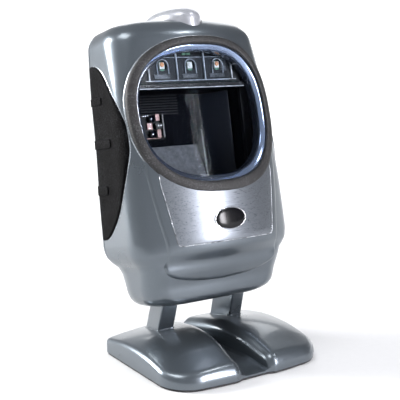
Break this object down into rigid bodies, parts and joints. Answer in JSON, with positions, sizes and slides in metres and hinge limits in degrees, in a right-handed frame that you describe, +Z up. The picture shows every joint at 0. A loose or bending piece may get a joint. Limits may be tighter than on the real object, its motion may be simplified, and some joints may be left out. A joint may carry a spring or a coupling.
{
  "type": "presentation barcode scanner",
  "caption": "Hands-free presentation barcode scanner: tall rounded head with a large oval window, tilting on two short legs over a two-lobed desk base, with a top button.",
  "frame": {"origin": "middle of the base's footprint, on the table", "axes": "+Z up, the window faces -Y, X=0 is the left-right mirror plane"},
  "size_m": [0.0822, 0.093, 0.1521],
  "materials": {
    "housing_paint": "blue-grey metallic gloss",
    "label_metal": "blue-grey with a fine brushed grain",
    "ballast_steel": "zinc plated",
    "pad_rubber": "soft brown-grey",
    "screw_steel": "zinc plated",
    "bezel_rubber": "fine spark texture",
    "window_rim": "mirror gloss",
    "window_glass": "clear",
    "badge_chrome": "bright",
    "badge_black": "domed gloss",
    "black_plastic": "fine matte",
    "ramp_grey": "fine matte",
    "fold_mirror": "dark first-surface mirror",
    "board_green": "solder mask",
    "led_white": "cream package",
    "tray_grey": "smoked gloss",
    "camera_copper": "rose plated",
    "camera_glass": "coated lens",
    "contact_gold": "gold plated",
    "bushing_bronze": "sintered",
    "button_silver": "silver-grey satin"
  },
  "bodies": {
    "stand": {"base_shell": "housing_paint", "ballast_plate": "ballast_steel", "base_pad": "pad_rubber", "leg_left": "housing_paint", "leg_right": "housing_paint", "leg_screws": "screw_steel", "base_screws": "screw_steel", "hinge_shaft": "screw_steel", "shaft_clips": "screw_steel"},
    "head": {"front_housing": "housing_paint", "rear_housing": "housing_paint", "bottom_cover": "black_plastic", "cover_screws": "screw_steel", "chest_cover": "housing_paint", "label_panel": "label_metal", "window_bezel": "bezel_rubber", "window_rim": "window_rim", "window_lens": "window_glass", "grip_left": "bezel_rubber", "grip_right": "bezel_rubber", "badge_rim": "badge_chrome", "badge_dome": "badge_black", "chassis": "black_plastic", "light_chamber": "black_plastic", "chamber_ramp": "ramp_grey", "fold_mirror": "fold_mirror", "led_board": "board_green", "led_emitters": "led_white", "led_tray": "tray_grey", "led_cover": "window_glass", "camera_module": "camera_copper", "camera_lenses": "camera_glass", "main_board": "board_green", "board_parts": "black_plastic", "board_shield": "screw_steel", "beeper": "black_plastic", "cable_socket": "black_plastic", "socket_contacts": "contact_gold", "hinge_bracket": "screw_steel", "hinge_bushings": "bushing_bronze", "friction_washers": "bushing_bronze", "bracket_screws": "screw_steel", "housing_screws": "screw_steel", "button_spring": "screw_steel", "button_board": "board_green", "button_switch": "black_plastic"},
    "button": {"button_cap": "button_silver", "button_stem": "button_silver"}
  },
  "joints": [
    {"name": "head_tilt", "type": "hinge", "parent": "stand", "child": "head", "pos_m": [0, 0.01177, 0.035], "axis": [-1, 0, 0], "range_deg": [-14, 4]},
    {"name": "button_press", "type": "slide", "parent": "head", "child": "button", "axis": [0, -0.2079, -0.9781], "range_m": [0, 0.0012], "stiffness_N_per_m": 1200, "springref_m": -0.0008, "deforming": ["button_spring"]}
  ]
}
